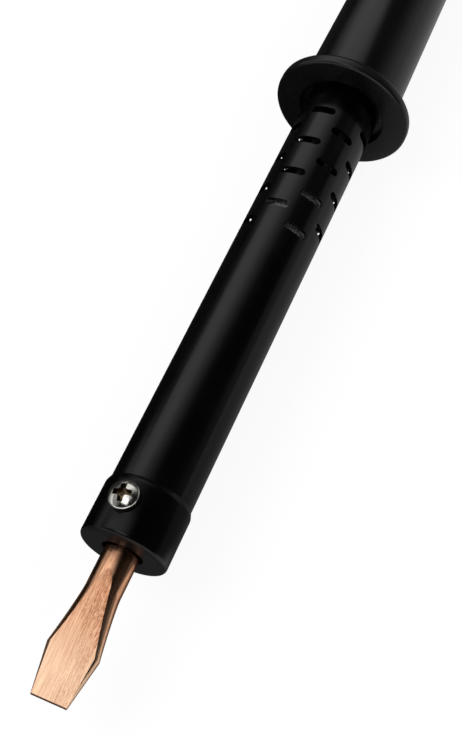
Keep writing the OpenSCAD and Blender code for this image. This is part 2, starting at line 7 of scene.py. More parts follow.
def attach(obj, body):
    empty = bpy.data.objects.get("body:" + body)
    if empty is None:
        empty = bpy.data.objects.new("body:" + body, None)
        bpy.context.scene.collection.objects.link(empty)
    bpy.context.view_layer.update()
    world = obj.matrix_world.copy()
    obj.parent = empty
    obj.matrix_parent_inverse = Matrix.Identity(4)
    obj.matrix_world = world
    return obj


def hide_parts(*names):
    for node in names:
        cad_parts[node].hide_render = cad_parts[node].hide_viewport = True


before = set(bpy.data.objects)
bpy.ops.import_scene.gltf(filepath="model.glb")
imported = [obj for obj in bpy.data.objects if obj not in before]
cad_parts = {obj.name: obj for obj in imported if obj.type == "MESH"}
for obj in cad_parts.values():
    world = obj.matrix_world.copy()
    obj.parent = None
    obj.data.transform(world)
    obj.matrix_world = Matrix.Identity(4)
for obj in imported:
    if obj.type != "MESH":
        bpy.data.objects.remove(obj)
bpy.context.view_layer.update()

# Barrel: a thin steel tube, stoved black, with staggered slots pressed through it near the
# guard. Its front end is pushed over the collar's spigot, and its rear goes through the guard.
MM = 0.001
BARREL_R = 9.5
BARREL_RI = 8.7
BARREL_FRONT = -238.4
BARREL_BACK = -107.0
COLLAR_FRONT = -252.4
SLOT_LEN = 6.4
SLOT_W = 2.1
SLOT_PITCH = 10.3
FIRST_SLOT = -130.0
SLOT_COLUMNS = 8
SLOT_ROWS = 4
SLOT_TURN = 15.0
PUNCH_LEN = 4
PUNCH_SIDES = 28
SCREW_X = -113.0
SCREW_TURNS = (130.0, -130.0)
SCREW_HOLE = 3.1
ROUND_SIDES = 160
HOLE_SIDES = 32
SAME_POINT = 0.002
SAME_RING = 0.02
PAINT_DARK = (0.0003, 0.0003, 0.0004)
PAINT_LIGHT = (0.0007, 0.0007, 0.0010)


def select_only(piece=None):
    """Deselects everything and selects one piece, if there is one."""
    if bpy.context.mode != "OBJECT":
        bpy.ops.object.mode_set(mode="OBJECT")
    bpy.ops.object.select_all(action="DESELECT")
    if piece:
        piece.select_set(True)
        bpy.context.view_layer.objects.active = piece


def settle():
    """Puts the place, turn and size of what is selected into its mesh."""
    bpy.ops.object.transform_apply(location=True, rotation=True, scale=True)


def turn_on_lathe(name, outline, sides=ROUND_SIDES, hollow=True):
    """Turns a piece about the iron's axis from its outline's (x, radius) points in mm."""
    select_only()
    x, radius = outline[0]
    bpy.ops.mesh.primitive_circle_add(
        vertices=sides, radius=radius * MM, fill_type="NOTHING" if hollow else "NGON",
        location=(x * MM, 0, 0), rotation=(0, math.pi / 2, 0),
    )
    piece = bpy.context.object
    piece.name = name
    piece.data.name = name
    settle()
    bpy.ops.object.mode_set(mode="EDIT")
    bpy.ops.mesh.select_all(action="SELECT")
    for next_x, next_radius in outline[1:] + (outline[:1] if hollow else []):
        bpy.ops.mesh.extrude_region_move(
            TRANSFORM_OT_translate={"value": ((next_x - x) * MM, 0, 0)}
        )
        grow = next_radius / radius
        bpy.ops.transform.resize(value=(1, grow, grow), center_override=(next_x * MM, 0, 0))
        x, radius = next_x, next_radius
    bpy.ops.mesh.select_all(action="SELECT")
    bpy.ops.mesh.remove_doubles(threshold=SAME_POINT * MM)
    bpy.ops.mesh.normals_make_consistent(inside=False)
    bpy.ops.object.mode_set(mode="OBJECT")
    return piece


def pick(piece, wanted):
    """Opens a piece for editing with the points selected whose place in mm is wanted."""
    select_only(piece)
    mesh = piece.data
    chosen = [bool(wanted(vertex.co / MM)) for vertex in mesh.vertices]
    mesh.vertices.foreach_set("select", chosen)
    mesh.edges.foreach_set("select", [all(chosen[v] for v in e.vertices) for e in mesh.edges])
    mesh.polygons.foreach_set("select", [all(chosen[v] for v in f.vertices) for f in mesh.polygons])
    bpy.context.tool_settings.mesh_select_mode = (True, False, False)
    bpy.ops.object.mode_set(mode="EDIT")


def round_rings(piece, rings, segments=4):
    """Rounds turned edges; each ring is its x, its radius and the rounding in mm."""
    for x, radius, rounding in rings:
        pick(piece, lambda at: (
            abs(at.x - x) < SAME_RING and abs(math.hypot(at.y, at.z) - radius) < SAME_RING
        ))
        bpy.ops.mesh.bevel(offset=rounding * MM, segments=segments, affect="EDGES")
        bpy.ops.object.mode_set(mode="OBJECT")


def point_outwards(piece, x, turn):
    """Stands a piece that was turned along +X outwards at x, turned from the top to +Y."""
    select_only(piece)
    piece.matrix_world = (
        Matrix.Translation((x * MM, 0, 0))
        @ Matrix.Rotation(-math.radians(turn), 4, "X")
        @ Matrix.Rotation(-math.pi / 2, 4, "Y")
        @ piece.matrix_world
    )
    settle()
    return piece


def cut_away(piece, cutter):
    """Cuts the cutter's shape out of the piece and removes the cutter."""
    select_only(piece)
    cut = piece.modifiers.new("cut", "BOOLEAN")
    cut.operation = "DIFFERENCE"
    cut.solver = "EXACT"
    cut.object = cutter
    bpy.ops.object.modifier_apply(modifier=cut.name)
    bpy.data.objects.remove(cutter)


def drill(piece, x, turn, diameter, inner, outer):
    """Drills a round hole square to the axis between two radii."""
    rod = turn_on_lathe("drill", [(inner, diameter / 2), (outer, diameter / 2)], HOLE_SIDES, False)
    cut_away(piece, point_outwards(rod, x, turn))


def break_edges(piece, width, angle=30, segments=2):
    """Breaks sharp edges by a small width and keeps the shading true on the faces."""
    select_only(piece)
    bpy.ops.object.shade_smooth_by_angle(angle=math.radians(angle))
    edge = piece.modifiers.new("edge", "BEVEL")
    edge.width = width * MM
    edge.segments = segments
    edge.limit_method = "ANGLE"
    edge.angle_limit = math.radians(angle)
    edge.harden_normals = True
    edge.use_clamp_overlap = True
    bpy.ops.object.modifier_apply(modifier=edge.name)


def add_node(tree, kind, sockets=None, **settings):
    """Adds a shader node; its sockets take plain values or other nodes' outputs."""
    made = tree.nodes.new("ShaderNode" + kind)
    for key, value in settings.items():
        setattr(made, key, value)
    for key, value in (sockets or {}).items():
        if isinstance(value, bpy.types.NodeSocket):
            tree.links.new(value, made.inputs[key])
        else:
            made.inputs[key].default_value = value
    return made


def mottle(tree, size, detail=3.0, stretch=(1, 1, 1)):
    """Soft noise on the piece's own coordinates, its grain's size in mm."""
    spot = add_node(tree, "TexCoord").outputs["Object"]
    scale = tuple(1 / (size * MM * way) for way in stretch)
    mapped = add_node(tree, "Mapping", {"Vector": spot, "Scale": scale}).outputs[0]
    noise = add_node(tree, "TexNoise", {"Vector": mapped, "Scale": 1.0, "Detail": detail})
    return noise.outputs["Fac"]


def place_on(tree, axis):
    """Place along one of the iron's axes, in metres."""
    spot = add_node(tree, "TexCoord").outputs["Object"]
    return add_node(tree, "SeparateXYZ", {0: spot}).outputs[axis]


def between(tree, value, low, high, start=0.3, end=0.7):
    """Spreads a value from start to end over low to high."""
    return add_node(tree, "MapRange", {
        "Value": value, "From Min": start, "From Max": end, "To Min": low, "To Max": high,
    }).outputs["Result"]


def band(tree, place, low, high, start, end):
    """Goes from low to high between two places in mm."""
    return between(tree, place, low, high, start * MM, end * MM)


def sum_of(tree, first, second):
    return add_node(tree, "Math", {0: first, 1: second}, operation="ADD").outputs[0]


def product_of(tree, first, second):
    return add_node(tree, "Math", {0: first, 1: second}, operation="MULTIPLY").outputs[0]


def blend_colours(tree, share, first, second):
    """Mixes two colours by a share."""
    first, second = [
        value if isinstance(value, bpy.types.NodeSocket) else (*value, 1)
        for value in (first, second)
    ]
    mixed = add_node(tree, "Mix", {0: share, 6: first, 7: second}, data_type="RGBA")
    return mixed.outputs[2]


def new_finish(name, metallic=0.0):
    """Starts a material and returns it with its tree and its shader."""
    material = bpy.data.materials.new(name)
    material.use_nodes = True
    shader = material.node_tree.nodes["Principled BSDF"]
    shader.inputs["Metallic"].default_value = metallic
    return material, material.node_tree, shader


def colour_and_shine(tree, shader, colour, roughness):
    """Gives the shader its colour and its roughness."""
    tree.links.new(colour, shader.inputs["Base Color"])
    tree.links.new(roughness, shader.inputs["Roughness"])


def roughen(tree, shader, height, strength, depth):
    """Gives the shader a fine relief, its depth in mm."""
    bump = add_node(tree, "Bump", {"Height": height, "Strength": strength, "Distance": depth * MM})
    tree.links.new(bump.outputs["Normal"], shader.inputs["Normal"])


def fit_out(piece, material, body, slot, *nodes):
    """Gives a new piece its material and its body, and hides the nodes it stands for. The slot is not
    used.
    """
    if not piece.data.materials:
        piece.data.materials.append(material)
    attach(piece, body)
    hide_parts(*nodes)


stove_paint, tree, shader = new_finish("stove_paint")
patches = mottle(tree, 9.0, 2.0)
along = place_on(tree, "X")
# The bit's heat has dulled the collar's front face most, and its side a little.
dulled = sum_of(
    tree, band(tree, along, 0.2, 0, COLLAR_FRONT + 0.1, COLLAR_FRONT + 0.7),
    band(tree, along, 0.05, 0, BARREL_FRONT - 1.6, BARREL_FRONT + 0.1),
)
gloss = sum_of(
    tree, band(tree, along, 0.25, 0, COLLAR_FRONT + 0.1, COLLAR_FRONT + 0.9),
    band(tree, along, 0.25, 0.5, BARREL_FRONT - 0.2, BARREL_FRONT + 0.1),
)
colour_and_shine(
    tree, shader, blend_colours(tree, between(tree, patches, 0, 1), PAINT_DARK, PAINT_LIGHT),
    sum_of(tree, between(tree, patches, 0.14, 0.19), dulled),
)
tree.links.new(gloss, shader.inputs["Specular IOR Level"])
roughen(tree, shader, mottle(tree, 0.55, 2.0), 0.2, 0.008)

barrel = turn_on_lathe("slotted_barrel", [
    (BARREL_FRONT, BARREL_RI), (BARREL_FRONT, BARREL_R),
    (BARREL_BACK, BARREL_R), (BARREL_BACK, BARREL_RI),
])
select_only()
bpy.ops.mesh.primitive_cylinder_add(
    vertices=PUNCH_SIDES, radius=SLOT_W / 2 * MM, depth=PUNCH_LEN * MM,
    location=(0, 0, BARREL_R * MM), rotation=(0, 0, math.pi / PUNCH_SIDES),
)
punch = bpy.context.object
settle()
for side in (-1, 1):
    pick(punch, lambda at: side * at.y > 0)
    bpy.ops.transform.translate(value=(0, side * (SLOT_LEN - SLOT_W) / 2 * MM, 0))
    bpy.ops.object.mode_set(mode="OBJECT")
punches = []
for column in range(SLOT_COLUMNS):
    for row in range(SLOT_ROWS):
        one = punch.copy()
        one.data = punch.data.copy()
        bpy.context.collection.objects.link(one)
        turn = SLOT_TURN - column * 360 / SLOT_COLUMNS
        slot_x = FIRST_SLOT - (row + (column % 2) / 2) * SLOT_PITCH
        one.matrix_world = (
            Matrix.Translation((slot_x * MM, 0, 0)) @ Matrix.Rotation(-math.radians(turn), 4, "X")
        )
        punches.append(one)
bpy.data.objects.remove(punch)
select_only(punches[0])
for one in punches:
    one.select_set(True)
settle()
bpy.ops.object.join()
cut_away(barrel, punches[0])
for turn in SCREW_TURNS:
    drill(barrel, SCREW_X, turn, SCREW_HOLE, 8, 10)
break_edges(barrel, 0.16, 32, 3)
fit_out(barrel, stove_paint, "iron", "black_paint", "barrel_tube")

# Front collar: a turned steel nose bush, stoved black like the barrel. Its spigot fills the
# barrel's mouth, its bore takes the bit, and a tapped hole on top takes the set screw.
FIT = 0.05
COLLAR_R = 10.1
SHOULDER_X = -239.6
SHOULDER_R = 9.65
SPIGOT_R = BARREL_RI - FIT
SPIGOT_BACK = -232.4
STUB_R = 6.45
STUB_BACK = -229.4
MOUTH_R = 4.7
BIT_BORE_R = 4.1
BIT_BORE_FRONT = -250.8
BIT_BORE_BACK = -231.4
SET_X = -244.1
SET_TURN = 15.0
SET_HOLE = 3.6

collar = turn_on_lathe("front_nose", [
    (COLLAR_FRONT, MOUTH_R), (COLLAR_FRONT, COLLAR_R), (SHOULDER_X, COLLAR_R),
    (BARREL_FRONT, SHOULDER_R), (BARREL_FRONT, SPIGOT_R), (SPIGOT_BACK, SPIGOT_R),
    (SPIGOT_BACK, STUB_R), (STUB_BACK, STUB_R), (STUB_BACK, MOUTH_R), (BIT_BORE_BACK, MOUTH_R),
    (BIT_BORE_BACK, BIT_BORE_R), (BIT_BORE_FRONT, BIT_BORE_R), (BIT_BORE_FRONT, MOUTH_R),
])
round_rings(collar, [
    (COLLAR_FRONT, COLLAR_R, 0.9), (COLLAR_FRONT, MOUTH_R, 0.25), (SHOULDER_X, COLLAR_R, 0.3),
    (BARREL_FRONT, SHOULDER_R, 0.1),
])
drill(collar, SET_X, SET_TURN, SET_HOLE, 3, 11)
break_edges(collar, 0.1, 40)
fit_out(collar, stove_paint, "iron", "black_paint", "front_collar")

# Set screw: a nickelled steel pan-head screw with a cross recess. Its end presses on the
# bit's shank, and its head stands on the collar.
POINT_AT = 4.05
POINT_R = 1.3
THREAD_START = 4.5
THREAD_R = 1.75
THREAD_PITCH = 0.6
THREAD_DEPTH = 0.3
HEAD_SEAT = 10.15
HEAD_R = 3.5
HEAD_TOP = 12.65
RIM_TOP = 11.525
HEAD_SIDES = 72
DOME_STEPS = 10
CROSS_TURN = 80.0
CROSS_LEN = 6.2
CROSS_W = 1.6
CROSS_DEPTH = 1.5
CROSS_TAPER = (0.5, 0.7)
CROSS_REACH = 2.6
SOCKET_R = 1.35
SOCKET_FLOOR_R = 0.5
SOCKET_DEPTH = 1.6


def mottled_finish(
    name, metallic, first, second, grain, shine, shine_grain=None, relief=None, spread=(0.3, 0.7)
):
    """Finish that a soft noise mottles between two colours and two roughnesses.

    A grain is the size in mm, the detail and the stretch of the noise, and the shine has the
    colours' own grain where it isn't given one. A relief is a grain, a strength and a depth
    in mm. The spread is where in the noise one colour goes over into the other.
    """
    material, tree, shader = new_finish(name, metallic)
    spots = mottle(tree, *grain)
    shine_spots = mottle(tree, *shine_grain) if shine_grain else spots
    colour_and_shine(
        tree, shader, blend_colours(tree, between(tree, spots, 0, 1, *spread), first, second),
        between(tree, shine_spots, *shine),
    )
    if relief:
        relief_grain, strength, depth = relief
        roughen(tree, shader, mottle(tree, *relief_grain), strength, depth)
    return material


nickel = mottled_finish(
    "nickel_plate", 1.0, (0.90, 0.88, 0.83), (0.66, 0.62, 0.54), (0.8, 4.0), (0.1, 0.18),
    shine_grain=(0.9,), relief=((0.5,), 0.2, 0.02), spread=(0.5, 0.75),
)
# Painted shade: the faces inside the cross recess are coloured dark brown for the shade that falls in
# it.
recess_shade = mottled_finish(
    "recess_painted_shade", 1.0, (0.05, 0.035, 0.02), (0.28, 0.22, 0.13), (0.5, 4.0), (0.25, 0.45),
    shine_grain=(0.4,),
)


def threaded(start, end, radius, pitch):
    """Outline points of a thread between two places."""
    points = []
    while start + pitch < end:
        points += [(start, radius), (start + pitch / 2, radius - THREAD_DEPTH * pitch)]
        start += pitch
    return points + [(end, radius)]


dome_h = HEAD_TOP - RIM_TOP
dome_r = (HEAD_R ** 2 + dome_h ** 2) / (2 * dome_h)
dome_leans = [
    math.asin(HEAD_R / dome_r) * step / DOME_STEPS for step in range(DOME_STEPS - 1, 0, -1)
]
set_screw = turn_on_lathe("set_screw_turned", (
    [(POINT_AT, POINT_R)] + threaded(THREAD_START, HEAD_SEAT - 0.3, THREAD_R, THREAD_PITCH)
    + [(HEAD_SEAT, THREAD_R), (HEAD_SEAT, HEAD_R), (RIM_TOP, HEAD_R)]
    + [
        (HEAD_TOP - dome_r + dome_r * math.cos(lean), dome_r * math.sin(lean))
        for lean in dome_leans
    ]
), HEAD_SIDES, hollow=False)
round_rings(set_screw, [(RIM_TOP, HEAD_R, 0.3), (HEAD_SEAT, HEAD_R, 0.15)])


def cross_arm(turn):
    """Tapering arm of the cross recess, its mouth level with the head's top."""
    select_only()
    bpy.ops.mesh.primitive_cube_add(size=1, location=(HEAD_TOP * MM, 0, 0))
    arm = bpy.context.object
    arm.scale = (2 * CROSS_DEPTH * MM, CROSS_LEN * MM, CROSS_W * MM)
    settle()
    pick(arm, lambda at: at.x < HEAD_TOP)
    bpy.ops.transform.resize(value=(1, *CROSS_TAPER), center_override=(HEAD_TOP * MM, 0, 0))
    bpy.ops.object.mode_set(mode="OBJECT")
    arm.matrix_world = Matrix.Rotation(math.radians(turn), 4, "X")
    settle()
    return arm


for turn in (0, 90):
    cut_away(set_screw, cross_arm(turn - CROSS_TURN))
socket = turn_on_lathe("socket", [
    (HEAD_TOP - SOCKET_DEPTH, SOCKET_FLOOR_R), (HEAD_TOP + 0.1, SOCKET_R),
], 8, hollow=False)
cut_away(set_screw, socket)
break_edges(set_screw, 0.07, 35)
point_outwards(set_screw, SET_X, SET_TURN)
set_screw.data.materials.append(nickel)
set_screw.data.materials.append(recess_shade)
# Faces inside the cross recess take the painted recess shade; the rest of the screw takes the nickel.
outward = Vector((0, math.sin(math.radians(SET_TURN)), math.cos(math.radians(SET_TURN))))
for face in set_screw.data.polygons:
    centre = Vector(face.center) / MM - Vector((SET_X, 0, 0))
    height = centre.dot(outward)
    off_axis = (centre - outward * height).length
    dome = HEAD_TOP - dome_r + math.sqrt(dome_r ** 2 - min(off_axis, HEAD_R) ** 2)
    in_cross = off_axis < CROSS_REACH and HEAD_SEAT < height < dome - 0.15
    face.material_index = 1 if in_cross else 0
fit_out(set_screw, nickel, "clamp_screw", "nickel", "set_screw")

# Soldering bit: drawn copper rod, its front forged wide and ground to a flat chisel. The
# rod slides in the collar and the heater, and the set screw holds it.
BIT_R = 4.0
BIT_BACK = -161.0
BIT_BACK_R = 3.5
BIT_TIP = -286.3
BIT_SIDES = 96
FLARE_AT = 9.0
FLARE_R = 3.975
FLARE_CURVE = 1.3
FLARE_STEPS = 14
WIDE_AT = 22.9
WIDE_HALF_W = 5.9
WIDE_HALF_T = 3.3
REACH = COLLAR_FRONT - BIT_TIP
END_HALF_W = 4.05
END_HALF_T = 1.6
FACE_START = 5.2
TIP_HALF = 0.4
CUT_CLOSE = 0.000001


def part_way(start, end, share):
    return start + (end - start) * share


def blank_size(reach):
    """Half width and half thickness of the forged blank at a reach in front of the collar."""
    if reach > WIDE_AT:
        share = (reach - WIDE_AT) / (REACH - WIDE_AT)
        return part_way(WIDE_HALF_W, END_HALF_W, share), part_way(WIDE_HALF_T, END_HALF_T, share)
    share = max(0.0, reach - FLARE_AT) / (WIDE_AT - FLARE_AT)
    return (
        part_way(FLARE_R, WIDE_HALF_W, share ** FLARE_CURVE), part_way(FLARE_R, WIDE_HALF_T, share)
    )


reach, half_w, half_t = FLARE_AT - 0.1, BIT_R, BIT_R
bit = turn_on_lathe("copper_bit", [
    (BIT_BACK, BIT_BACK_R), (BIT_BACK - 0.5, BIT_R), (COLLAR_FRONT, BIT_R),
    (COLLAR_FRONT - reach, BIT_R),
], BIT_SIDES, hollow=False)
pick(bit, lambda at: at.x < COLLAR_FRONT - reach + 1)
blank_steps = [part_way(FLARE_AT, WIDE_AT, step / FLARE_STEPS) for step in range(FLARE_STEPS + 1)]
for next_reach in blank_steps + [REACH + 1]:
    next_w, next_t = blank_size(next_reach)
    bpy.ops.mesh.extrude_region_move(
        TRANSFORM_OT_translate={"value": ((reach - next_reach) * MM, 0, 0)}
    )
    bpy.ops.transform.resize(
        value=(1, next_w / half_w, next_t / half_t),
        center_override=((COLLAR_FRONT - next_reach) * MM, 0, 0),
    )
    reach, half_w, half_t = next_reach, next_w, next_t
for side in (-1, 1):
    facing = Vector((TIP_HALF - BIT_R, 0, side * (REACH - FACE_START))).normalized()
    bpy.ops.mesh.select_all(action="SELECT")
    bpy.ops.mesh.bisect(
        plane_co=(BIT_TIP * MM, 0, side * TIP_HALF * MM), plane_no=facing,
        use_fill=True, clear_outer=True, threshold=CUT_CLOSE,
    )
bpy.ops.mesh.select_all(action="SELECT")
bpy.ops.mesh.bisect(
    plane_co=(BIT_TIP * MM, 0, 0), plane_no=(-1, 0, 0), use_fill=True, clear_outer=True,
    threshold=CUT_CLOSE,
)
bpy.ops.mesh.select_all(action="SELECT")
bpy.ops.mesh.normals_make_consistent(inside=False)
bpy.ops.object.mode_set(mode="OBJECT")
break_edges(bit, 0.1, 22)


def copper_tone(tree, along):
    """Copper's own colour: palest at the ground tip, redder towards the collar."""
    warm = band(tree, along, 0, 1, BIT_TIP + 5.3, BIT_TIP + 24.3)
    drift = between(tree, mottle(tree, 4.0, 2.0, (2, 1, 1)), -0.2, 0.2)
    share = add_node(tree, "Math", {0: warm, 1: drift}, operation="ADD", use_clamp=True).outputs[0]
    return blend_colours(tree, share, (0.97, 0.66, 0.45), (0.86, 0.46, 0.27))


drawn_copper, tree, shader = new_finish("drawn_copper", 1.0)
shader.inputs["Specular Tint"].default_value = (0.9, 0.58, 0.4, 1)
along = place_on(tree, "X")
# Darker near the collar's mouth: partly the oxide that heat leaves on copper, partly painted shade
# from the collar.
collar_heat_and_shade = band(tree, along, 0, 1, COLLAR_FRONT - 4.6, COLLAR_FRONT + 0.4)
grain = mottle(tree, 0.22, 4.0, (9, 1, 1))
clouds = mottle(tree, 1.6, 4.0, (1.6, 1, 1))
drawn = blend_colours(
    tree, between(tree, grain, 0, 0.8, 0.45, 0.75), copper_tone(tree, along), (0.55, 0.24, 0.13)
)
oxide_and_shade = blend_colours(tree, between(tree, clouds, 0, 1), (0.09, 0.04, 0.03), (0.34, 0.16, 0.11))
burnt_and_shaded = add_node(tree, "Math", {
    0: collar_heat_and_shade, 1: between(tree, clouds, 0.4, 1.1),
}, operation="MULTIPLY", use_clamp=True).outputs[0]
colour_and_shine(
    tree, shader, blend_colours(tree, burnt_and_shaded, drawn, oxide_and_shade), between(tree, clouds, 0.15, 0.24)
)
roughen(tree, shader, grain, 0.25, 0.012)

ground_copper, tree, shader = new_finish("ground_copper", 1.0)
along = place_on(tree, "X")
scratches = mottle(tree, 0.12, 4.0, (60, 1, 60))
worn = sum_of(
    tree, band(tree, place_on(tree, "Y"), 0.5, 0.05, -2, 3),
    band(tree, along, 0, 0.55, BIT_TIP + 9.3, BIT_TIP + 20.3),
)
streaks = product_of(
    tree, between(tree, mottle(tree, 0.14, 3.0, (50, 1, 50)), 0.1, 1, 0.42, 0.58),
    between(tree, mottle(tree, 0.16, 2.0, (6, 1, 6)), 0, 1, 0.38, 0.54),
)
struck = blend_colours(
    tree, between(tree, scratches, 0, 0.5, 0.48, 0.66), copper_tone(tree, along), (0.78, 0.38, 0.23)
)
streaked = blend_colours(tree, product_of(tree, streaks, worn), struck, (0.40, 0.13, 0.05))
# Painted shade: a thin dark line along the tip's edge on the ground faces.
tip_edge_shade = band(tree, along, 1, 0, BIT_TIP + 0.15, BIT_TIP + 0.28)
colour_and_shine(
    tree, shader, blend_colours(tree, tip_edge_shade, streaked, (0.09, 0.035, 0.02)),
    between(tree, scratches, 0.26, 0.38),
)
roughen(tree, shader, scratches, 0.3, 0.008)

# Painted dark reflection: the bit's end face is coloured near black rather than copper for the dark
# ground it mirrors.
end_painted_dark, tree, shader = new_finish("end_painted_dark")
shader.inputs["Specular IOR Level"].default_value = 0.1
torn = between(tree, mottle(tree, 0.3), 0, 1)
colour_and_shine(
    tree, shader, blend_colours(tree, torn, (0.012, 0.005, 0.003), (0.05, 0.02, 0.01)),
    between(tree, mottle(tree, 0.3), 0.6, 0.8),
)

for finish in (drawn_copper, ground_copper, end_painted_dark):
    bit.data.materials.append(finish)
# The end face takes the painted dark reflection, and the flat ground faces take the ground copper.
for face in bit.data.polygons:
    flat = abs(face.normal.z) > 0.985 and face.area > 20 * MM * MM
    end = face.normal.x < -0.6 and face.center.x < (BIT_TIP + 1) * MM
    face.material_index = 2 if end else 1 if flat else 0
fit_out(bit, drawn_copper, "bit", "copper", "soldering_bit")

# Heater: resistance ribbon wound over mica on a steel tube, wrapped in mica again and
# sleeved in sheet steel, with a steatite bush at each end. It sits in the barrel.
RIBBON_PITCH = 1.4
RIBBON_EDGE = (0.2, 0.3)
RIBBON_SIDE = (0.2, 0.35)


def dress(material, *nodes):
    """Gives nodes of the frame their material."""
    for name in nodes:
        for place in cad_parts[name].material_slots:
            place.material = material


sheet_steel = mottled_finish(
    "casing_sheet_steel", 0.8, (0.5, 0.5, 0.5), (0.72, 0.71, 0.7), (7.0,), (0.22, 0.36),
    shine_grain=(0.7,), relief=((0.5, 3.0, (8, 1, 1)), 0.2, 0.02),
)
dress(sheet_steel, "heater_casing")

bare_steel = mottled_finish(
    "bright_steel", 1.0, (0.34, 0.33, 0.31), (0.5, 0.49, 0.47), (4.0,), (0.28, 0.42),
    shine_grain=(0.5, 3.0, (1, 8, 8)), relief=((0.3, 2.0, (1, 8, 8)), 0.15, 0.01),
)
dress(bare_steel, "heater_core_tube", "centring_ring", "barrel_bush")

mica = mottled_finish(
    "mica_wrap", 0.0, (0.42, 0.31, 0.15), (0.60, 0.50, 0.31), (3.0, 4.0), (0.25, 0.5),
    relief=((3.0, 4.0), 0.3, 0.05),
)
dress(mica, "inner_mica", "outer_mica")

winding, tree, shader = new_finish("resistance_ribbon", 1.0)
turns = add_node(
    tree, "Math", {0: place_on(tree, "X"), 1: RIBBON_PITCH * MM}, operation="PINGPONG"
).outputs[0]
colour_and_shine(
    tree, shader, blend_colours(
        tree, band(tree, turns, 0, 1, *RIBBON_EDGE), (0.05, 0.045, 0.04), (0.33, 0.3, 0.27)
    ),
    between(tree, mottle(tree, 1.0), 0.35, 0.5),
)
roughen(tree, shader, band(tree, turns, 0, 1, *RIBBON_SIDE), 0.8, 0.15)
dress(winding, "heating_winding")

steatite = mottled_finish(
    "steatite", 0.0, (0.5, 0.46, 0.4), (0.68, 0.65, 0.58), (1.6, 5.0), (0.45, 0.62),
    relief=((0.3, 4.0), 0.25, 0.02),
)
dress(steatite, "front_ceramic_bush", "rear_ceramic_bush")

# Leads and beads: stiff nickel wires run from the winding to the terminals, each strung
# with fired ceramic beads, coloured near black as painted shade. The earth lead is bare.
lead_wire = mottled_finish(
    "lead_nickel_wire", 1.0, (0.36, 0.34, 0.30), (0.56, 0.53, 0.48), (1.5,), (0.25, 0.4),
    shine_grain=(0.4,),
)
dress(lead_wire, "live_lead", "neutral_lead", "earth_lead")

# Painted shade: the beads are near black, for the shade inside the barrel.
beads = mottled_finish(
    "beads_painted_shade", 0.0, (0.008, 0.0075, 0.007), (0.02, 0.018, 0.016), (2.0, 4.0), (0.5, 0.65),
    relief=((0.3, 4.0), 0.25, 0.02),
)
dress(beads, "ceramic_beads")

# Hand guard: a round disc moulded in black plastic with a spigot behind it. The barrel
# goes through it with room to spare in front, and two screws hold it in the handle.
GUARD_FRONT = -122.0
GUARD_BACK = -119.0
GUARD_R = 17.8
GUARD_BORE_R = BARREL_R + FIT
RECESS_R = 11.3
RECESS_FLOOR = -120.0
GUARD_SPIGOT_R = 10.7
GUARD_SPIGOT_BACK = -105.0

guard_plastic = mottled_finish(
    "guard_plastic", 0.0, (0.0026, 0.0026, 0.0029), (0.0040, 0.0040, 0.0044), (6.0,), (0.24, 0.3),
    relief=((0.35, 2.0), 0.15, 0.006),
)
guard = turn_on_lathe("round_guard", [
    (RECESS_FLOOR, GUARD_BORE_R), (RECESS_FLOOR, RECESS_R), (GUARD_FRONT, RECESS_R),
    (GUARD_FRONT, GUARD_R), (GUARD_BACK, GUARD_R), (GUARD_BACK, GUARD_SPIGOT_R),
    (GUARD_SPIGOT_BACK, GUARD_SPIGOT_R), (GUARD_SPIGOT_BACK, GUARD_BORE_R),
])
round_rings(guard, [
    (GUARD_FRONT, GUARD_R, 0.9), (GUARD_BACK, GUARD_R, 0.9), (GUARD_FRONT, RECESS_R, 0.3),
    (GUARD_SPIGOT_BACK, GUARD_SPIGOT_R, 0.3),
])
for turn in SCREW_TURNS:
    drill(guard, SCREW_X, turn, SCREW_HOLE, 9, 11)
break_edges(guard, 0.08, 40)
fit_out(guard, guard_plastic, "iron", "guard_black", "hand_guard")

# Handle grip: black plastic, moulded in one piece and tapering to the rear. The guard's
# spigot, the terminal block and the end cap fit in its bore.
GRIP_FRONT = GUARD_BACK
GRIP_FRONT_R = 12.8
GRIP_BACK = -4.0
GRIP_BACK_R = 11.2
TAPER_START = -118.5
LIP_END = -117.0
FRONT_BORE_R = GUARD_SPIGOT_R + FIT
FRONT_BORE_BACK = GUARD_SPIGOT_BACK + FIT
BLOCK_BORE_R = 9.0
BLOCK_BORE_BACK = -77.95
WIRE_BORE_R = 7.5
CAP_BORE_R = 9.0
CAP_BORE_FRONT = -28.0
SCREW_HEAD_HOLE = 5.7
CAP_SCREW_X = -9.0
CAP_SCREW_TURN = 180.0
CAP_SCREW_HOLE = 2.6
CAP_SCREW_HEAD_HOLE = 4.7
HEAD_BELOW = 0.3
HEAD_EDGE = 0.2
SUNK_SIDES = 48

grip_plastic = mottled_finish(
    "grip_plastic", 0.0, (0.0009, 0.0009, 0.0011), (0.0018, 0.0018, 0.0021),
    (14.0, 3.0, (2, 1, 1)), (0.16, 0.2), relief=((0.4, 2.0), 0.15, 0.006),
)


def grip_radius(x):
    """Radius of the grip's outside at a place along it."""
    return part_way(GRIP_FRONT_R, GRIP_BACK_R, (x - TAPER_START) / (GRIP_BACK - TAPER_START))


def sink(piece, x, turn, diameter, head, inner):
    """Cuts a countersunk screw's hole from the outside to an inner radius."""
    top = grip_radius(x) - HEAD_BELOW
    hole = turn_on_lathe("sunk_hole", [
        (inner, diameter / 2), (top - (head - diameter) / 2 - HEAD_EDGE, diameter / 2),
        (top, head / 2), (top + 2, head / 2),
    ], SUNK_SIDES, hollow=False)
    cut_away(piece, point_outwards(hole, x, turn))


